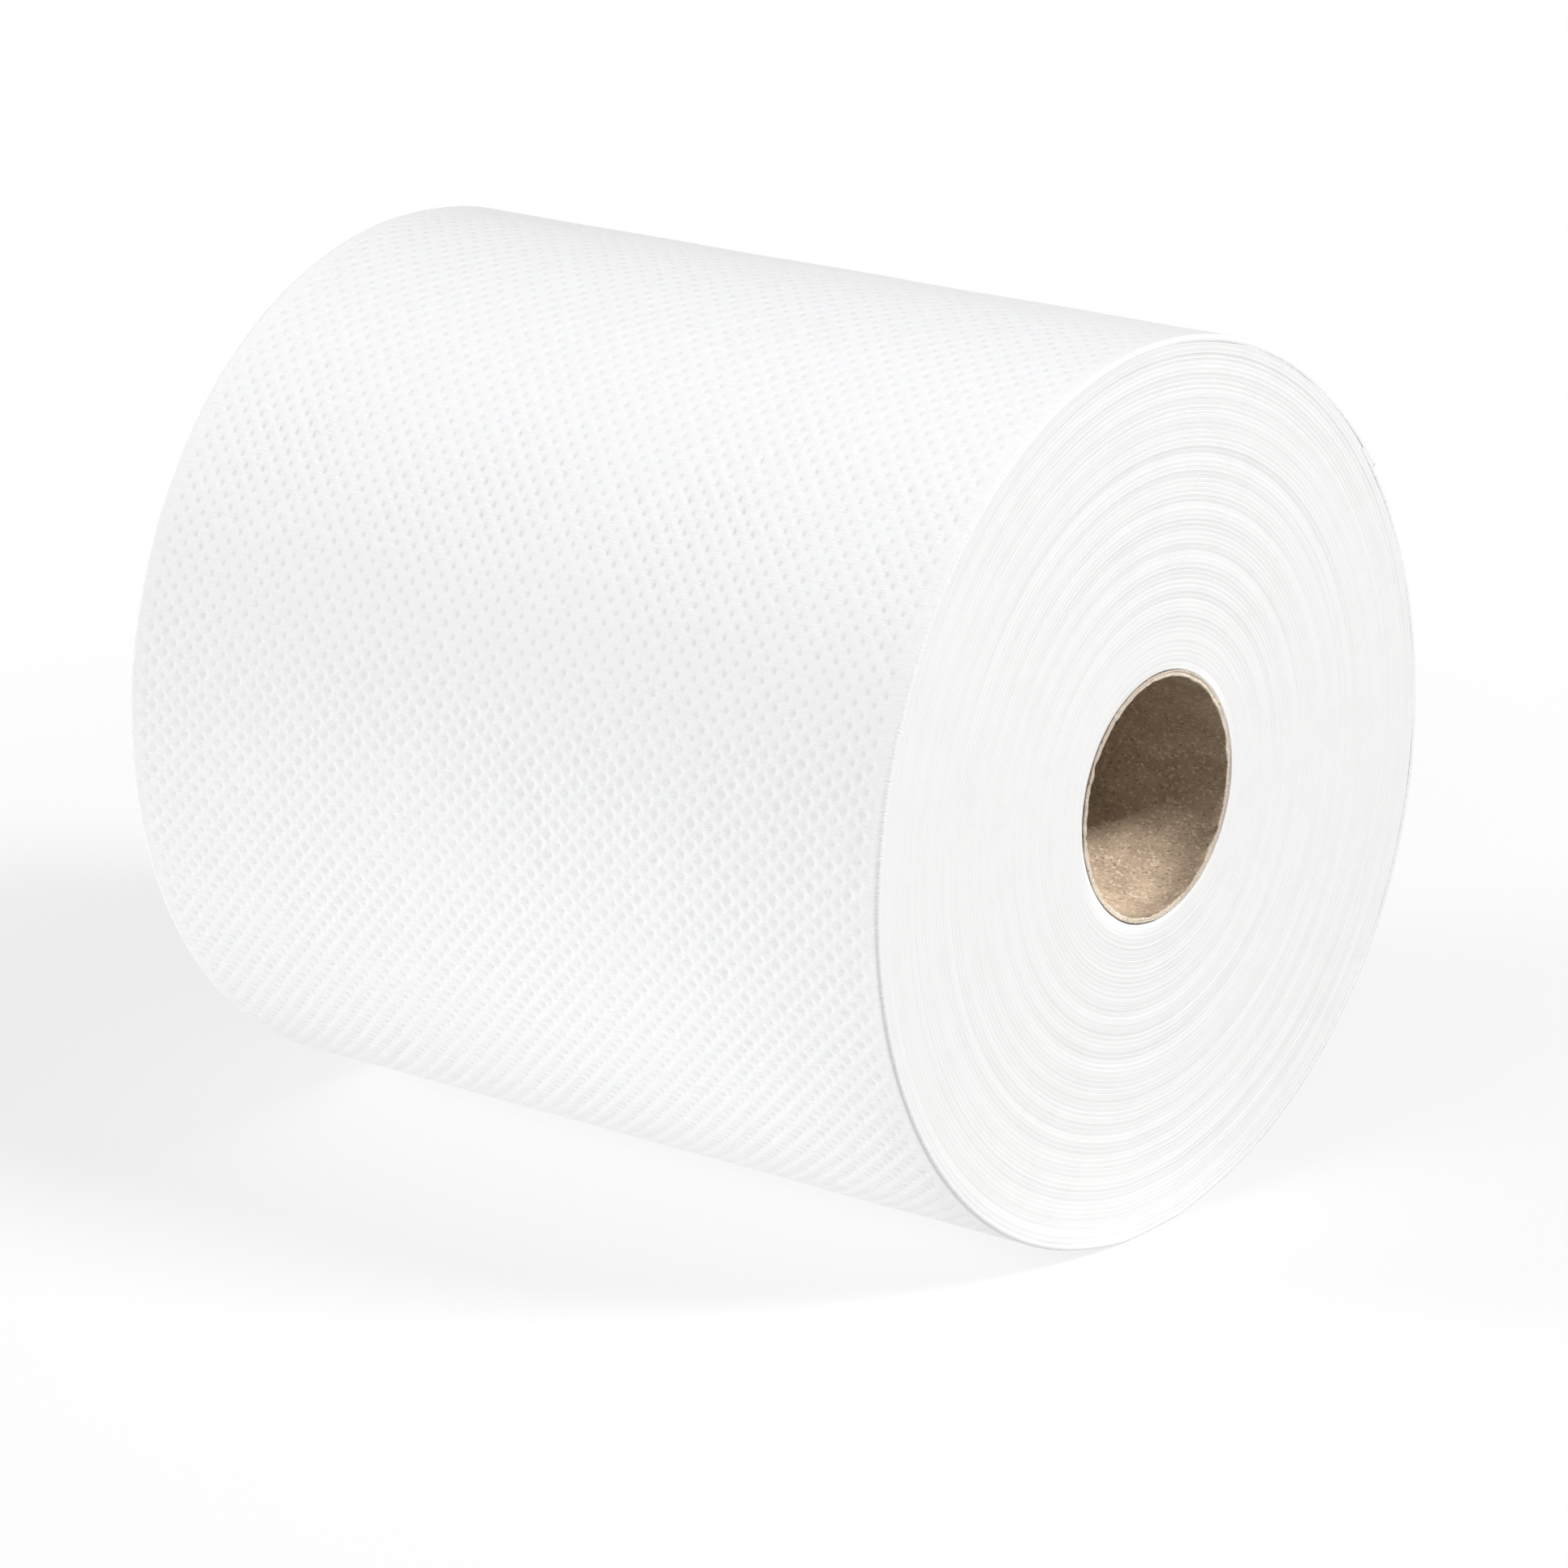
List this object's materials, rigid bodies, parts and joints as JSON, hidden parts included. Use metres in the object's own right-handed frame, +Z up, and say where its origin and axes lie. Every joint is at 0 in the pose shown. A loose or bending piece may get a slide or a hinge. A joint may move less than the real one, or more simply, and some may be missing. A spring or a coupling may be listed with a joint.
{
  "type": "paper towel roll",
  "caption": "Large roll of plain white dimpled paper towel, wound on an open cardboard core and lying on its side.",
  "frame": {"origin": "middle of the small flat that the roll lies on, under the middle of its length", "axes": "+Z up, +X along the roll's axis towards the cut end that the picture shows, +Y away from the picture's view"},
  "size_m": [0.198, 0.1907, 0.19],
  "materials": {
    "embossed_paper": "matte",
    "core_board": "matte"
  },
  "bodies": {
    "root": {"towel_roll": "embossed_paper", "core_tube": "core_board"}
  },
  "joints": []
}
